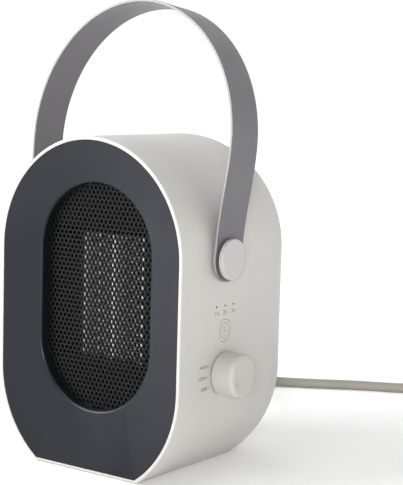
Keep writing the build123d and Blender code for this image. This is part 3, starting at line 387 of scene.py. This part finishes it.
LABELS = [
    ("label_high", "HIGH", (-0.0514, 0.0857), 0.0037, 0.0092),
    ("label_low", "LOW", (-0.0532, 0.0778), 0.0037, 0.0086),
    ("label_off", "OFF", (-0.0501, 0.0697), 0.0037, 0.0074),
]
for name, words, middle, size, width in LABELS:
    finish_print(print_text(name, words, middle, size, width), "housing", dark_ink)
HOURS = [
    ("label_1h", "1h", (-0.0373, 0.1225), 0.0045, 0.0044),
    ("label_2h", "2h", (-0.0269, 0.1225), 0.0045, 0.0050),
    ("label_3h", "3h", (-0.0165, 0.1225), 0.0045, 0.0050),
]
for name, words, middle, size, width in HOURS:
    finish_print(print_text(name, words, middle, size, width), "housing", pale_ink)

dots = bmesh.new()
for place in ((-0.0443, 0.0856), (-0.0470, 0.0779), (-0.0442, 0.0700)):
    add_ring(dots, (SIDE_X, *place), 0.00001, 0.00055, 16)
finish_print(print_mark("dial_dots", dots), "housing", dark_ink)

clock = bmesh.new()
add_ring(clock, (BUTTON_X, BUTTON_Y, BUTTON_Z), 0.0054, 0.00585)
add_bar(clock, BUTTON_X, (-0.0276, 0.1132), (-0.0276, 0.1086), 0.0004)
add_bar(clock, BUTTON_X, (-0.0278, 0.1088), (-0.0246, 0.1088), 0.0004)
finish_print(print_mark("clock_mark", clock), "button", pale_ink)

pointer = bmesh.new()
POINTER = (KNOB_Y - 0.0096 * cos(radians(30)), KNOB_Z - 0.0096 * sin(radians(30)))
add_ring(pointer, (KNOB_X - 0.00025, *POINTER), 0.00102, 0.00158)
add_ring(pointer, (KNOB_X, POINTER[0], POINTER[1] + 0.0030), 0.00001, 0.0003, 12)
finish_print(print_mark("pointer_mark", pointer), "knob", pale_ink)


# ---------------------------------------------------------------- floor, light and sky
def make_floor():
    data = bpy.data.meshes.new("floor")
    form = bmesh.new()
    bmesh.ops.create_grid(form, x_segments=1, y_segments=1, size=12)
    form.to_mesh(data)
    form.free()
    floor = bpy.data.objects.new("floor", data)
    bpy.context.scene.collection.objects.link(floor)
    paint = Material("floor_paint", 0.8)
    paint.colour(paint.ramp(paint.noise(3.0), (0.90, 0.90, 0.90), (0.92, 0.92, 0.92)))
    # the far floor is lit up a little, so that it meets the white background without a line
    distance = paint.node("ShaderNodeVectorMath", operation="LENGTH")
    paint.link(paint.place, distance.inputs[0])
    rise = paint.node("ShaderNodeMapRange", interpolation_type="SMOOTHSTEP")
    rise.inputs["From Min"].default_value, rise.inputs["From Max"].default_value = 0.25, 1.1
    rise.inputs["To Min"].default_value, rise.inputs["To Max"].default_value = 0.12, 0.5
    paint.link(distance.outputs["Value"], rise.inputs["Value"])
    paint.shader.inputs["Emission Color"].default_value = (1, 1, 1, 1)
    paint.link(rise.outputs["Result"], paint.shader.inputs["Emission Strength"])
    data.materials.append(paint.material)


def make_light(name, place, target, size, power, colour=(1, 1, 1)):
    data = bpy.data.lights.new(name, "AREA")
    data.shape = "RECTANGLE"
    data.size, data.size_y = size
    data.energy = power
    data.color = colour
    light = bpy.data.objects.new(name, data)
    light.location = place
    light.rotation_euler = (Vector(target) - Vector(place)).to_track_quat("-Z", "Y").to_euler()
    bpy.context.scene.collection.objects.link(light)


def make_sky():
    """White all round, and a little darker on the right."""
    world = bpy.data.worlds.new("studio")
    world.use_nodes = True
    tree = world.node_tree
    background = tree.nodes["Background"]
    background.inputs["Color"].default_value = (1, 1, 1, 1)
    place = tree.nodes.new("ShaderNodeTexCoord")
    aside = tree.nodes.new("ShaderNodeVectorMath")
    aside.operation = "DOT_PRODUCT"
    aside.inputs[1].default_value = (0.62, -0.74, 0.26)
    fall = tree.nodes.new("ShaderNodeMapRange")
    fall.interpolation_type = "SMOOTHSTEP"
    fall.inputs["From Min"].default_value, fall.inputs["From Max"].default_value = -0.35, 0.75
    fall.inputs["To Min"].default_value, fall.inputs["To Max"].default_value = 1.02, 0.2
    tree.links.new(place.outputs["Generated"], aside.inputs[0])
    tree.links.new(aside.outputs["Value"], fall.inputs["Value"])
    # the sky itself is seen plain white from every side, whatever light it gives
    seen = tree.nodes.new("ShaderNodeLightPath")
    strength = tree.nodes.new("ShaderNodeMath")
    strength.operation = "MAXIMUM"
    tree.links.new(fall.outputs["Result"], strength.inputs[0])
    tree.links.new(seen.outputs["Is Camera Ray"], strength.inputs[1])
    tree.links.new(strength.outputs[0], background.inputs["Strength"])
    bpy.context.scene.world = world


make_floor()
make_light("key", (-1.6, -1.5, 1.35), (0, 0, 0.14), (1.5, 1.5), 60)
make_light("fill", (0.84, -1.2, 0.40), (0, -0.04, 0.13), (0.4, 0.4), 11)
make_light("back", (1.45, 2.0, 0.17), (0, 0, 0.2), (1.3, 0.6), 1.2)
make_light("top", (0.05, -0.50, 0.78), (0.03, -0.06, 0.23), (0.3, 0.3), 1.2)
make_light("outlet", (0, -0.0605, 0.1268), (0, 0, 0.1268), (0.056, 0.094), 0.012)
make_sky()
bpy.context.scene.view_settings.view_transform = "Standard"

# ---------------------------------------------------------------- finish
bpy.context.view_layer.update()
